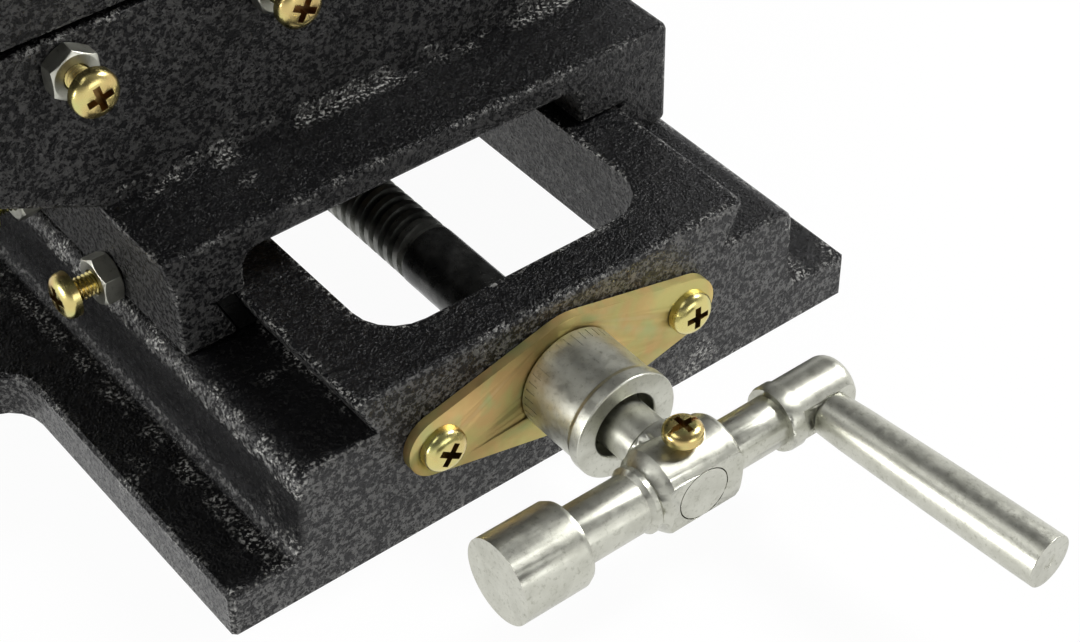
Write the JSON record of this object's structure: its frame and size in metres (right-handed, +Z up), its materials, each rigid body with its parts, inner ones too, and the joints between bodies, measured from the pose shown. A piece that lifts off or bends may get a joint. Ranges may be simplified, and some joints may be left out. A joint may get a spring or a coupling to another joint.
{
  "type": "cross slide vise",
  "caption": "Cast iron cross slide vise for a drill press: base with dovetail way, saddle, vise body with moving jaw, and crank driven lead screws.",
  "frame": {"origin": "on the underside of the base, in the middle of its front wall's thickness, below the cross screw's axis", "axes": "+X along the vise body from the fixed jaw to the jaw screw's crank, +Y from the front of the base to its back along the cross screw, +Z up"},
  "size_m": [0.5492, 0.3494, 0.197],
  "materials": {
    "hammertone": "black hammertone paint with a fine grey web",
    "black_steel": "blackened steel",
    "bright_steel": "ground steel",
    "zinc": "satin zinc plating",
    "yellow_zinc": "yellow zinc plating",
    "bronze": "plain bronze"
  },
  "bodies": {
    "base": {"base_casting": "hammertone", "cross_bearing_plate": "yellow_zinc", "cross_plate_screw_1": "yellow_zinc", "cross_plate_screw_2": "yellow_zinc"},
    "cross_screw": {"cross_collar": "zinc", "cross_crank_arm": "zinc", "cross_crank_grip": "zinc", "cross_crank_screw": "yellow_zinc", "cross_lead_screw": "black_steel"},
    "saddle": {"cross_gib": "black_steel", "cross_gib_nut_1": "zinc", "cross_gib_nut_2": "zinc", "cross_gib_nut_3": "zinc", "cross_gib_screw_1": "yellow_zinc", "cross_gib_screw_2": "yellow_zinc", "cross_gib_screw_3": "yellow_zinc", "cross_nut": "bronze", "cross_nut_screw_1": "black_steel", "cross_nut_screw_2": "black_steel", "long_gib": "black_steel", "long_gib_nut_1": "zinc", "long_gib_nut_2": "zinc", "long_gib_nut_3": "zinc", "long_gib_nut_4": "zinc", "long_gib_screw_1": "yellow_zinc", "long_gib_screw_2": "yellow_zinc", "long_gib_screw_3": "yellow_zinc", "long_gib_screw_4": "yellow_zinc", "long_nut": "bronze", "long_nut_screw_1": "black_steel", "long_nut_screw_2": "black_steel", "saddle_casting": "hammertone"},
    "table": {"fixed_jaw_plate": "bright_steel", "fixed_jaw_plate_screw_1": "black_steel", "fixed_jaw_plate_screw_2": "black_steel", "long_bearing_plate": "yellow_zinc", "long_plate_screw_1": "yellow_zinc", "long_plate_screw_2": "yellow_zinc", "vise_body_casting": "hammertone"},
    "jaw_screw": {"jaw_crank_arm": "zinc", "jaw_crank_grip": "zinc", "jaw_crank_screw": "yellow_zinc", "jaw_screw": "black_steel"},
    "jaw": {"jaw_keeper_plate": "bright_steel", "jaw_keeper_screw_1": "black_steel", "jaw_keeper_screw_2": "black_steel", "jaw_retainer_screw_1": "black_steel", "jaw_retainer_screw_2": "black_steel", "jaw_screw_retainer": "bright_steel", "moving_jaw_casting": "hammertone", "moving_jaw_plate": "bright_steel", "moving_jaw_plate_screw_1": "black_steel", "moving_jaw_plate_screw_2": "black_steel"},
    "long_screw": {"long_collar": "zinc", "long_crank_arm": "zinc", "long_crank_grip": "zinc", "long_crank_screw": "yellow_zinc", "long_lead_screw": "black_steel"}
  },
  "joints": [
    {"name": "cross_screw_turn", "type": "hinge", "parent": "base", "child": "cross_screw", "pos_m": [0, -0.0068, 0.0276], "axis": [0, 1, 0], "range_deg": [-3961, 3961]},
    {"name": "saddle_slide", "type": "slide", "parent": "base", "child": "saddle", "axis": [0, 1, 0], "range_m": [-0.044, 0.044]},
    {"name": "long_screw_turn", "type": "hinge", "parent": "table", "child": "long_screw", "pos_m": [-0.155, 0.1104, 0.1268], "axis": [1, 0, 0], "range_deg": [-4681, 4681]},
    {"name": "table_slide", "type": "slide", "parent": "saddle", "child": "table", "axis": [1, 0, 0], "range_m": [-0.052, 0.052]},
    {"name": "jaw_screw_turn", "type": "hinge", "parent": "jaw", "child": "jaw_screw", "pos_m": [0.155, 0.1104, 0.1678], "axis": [1, 0, 0], "range_deg": [-3574, 9001]},
    {"name": "jaw_slide", "type": "slide", "parent": "table", "child": "jaw", "axis": [1, 0, 0], "range_m": [-0.0397, 0.1]}
  ],
  "couplings": [
    {"joint": "cross_screw_turn", "follows": "saddle_slide", "rad_per_m": -1570.8},
    {"joint": "long_screw_turn", "follows": "table_slide", "rad_per_m": 1570.8},
    {"joint": "jaw_screw_turn", "follows": "jaw_slide", "rad_per_m": 1570.8}
  ]
}
